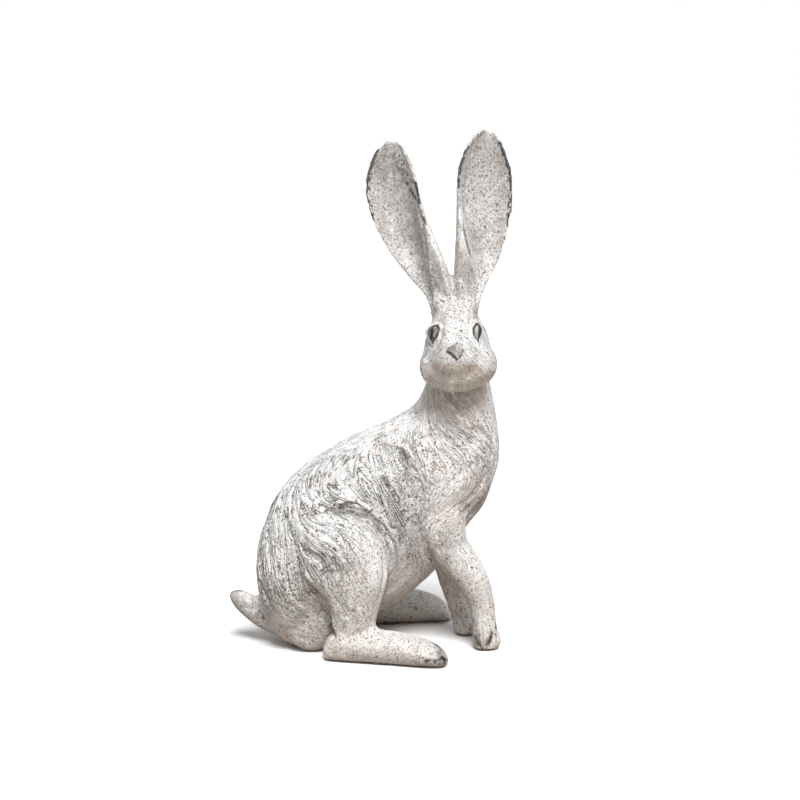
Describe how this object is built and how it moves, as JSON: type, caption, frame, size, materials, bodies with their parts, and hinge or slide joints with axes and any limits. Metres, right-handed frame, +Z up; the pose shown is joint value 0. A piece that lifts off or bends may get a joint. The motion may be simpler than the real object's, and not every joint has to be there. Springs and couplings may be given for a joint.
{
  "type": "hare figurine",
  "caption": "Sitting long-eared hare figurine in off-white painted resin, cast in pieces that are pinned and glued, on felt pads.",
  "frame": {"origin": "middle of the footprint's bounding box, on the floor beneath the felt pads", "axes": "+Z up, +X the way the hare's body faces, -Y its right side, over which its head is turned"},
  "size_m": [0.1862, 0.1304, 0.3382],
  "materials": {
    "painted_resin": "matt off-white paint over carved fur, grey wash in the grooves, rust-brown and grey spatter, black wear on ear rims and toes",
    "dowel_wood": "plain beech dowel",
    "pin_steel": "cut steel rod",
    "plug_rubber": "moulded black rubber",
    "pad_felt": "grey wool felt"
  },
  "bodies": {
    "root": {"torso_casting": "painted_resin", "head_casting": "painted_resin", "ear_right": "painted_resin", "ear_left": "painted_resin", "foreleg_right": "painted_resin", "foreleg_left": "painted_resin", "hind_foot_right": "painted_resin", "hind_foot_left": "painted_resin", "tail_casting": "painted_resin", "neck_dowel_front": "dowel_wood", "neck_dowel_rear": "dowel_wood", "ear_pin_right": "pin_steel", "ear_pin_left": "pin_steel", "foreleg_pin_right": "pin_steel", "foreleg_pin_left": "pin_steel", "foot_pin_right": "pin_steel", "foot_pin_left": "pin_steel", "tail_pin": "pin_steel", "fill_plug": "plug_rubber", "felt_pad_rump": "pad_felt", "felt_pad_foot_right": "pad_felt", "felt_pad_foot_left": "pad_felt", "felt_pad_paw_right": "pad_felt", "felt_pad_paw_left": "pad_felt"}
  },
  "joints": []
}
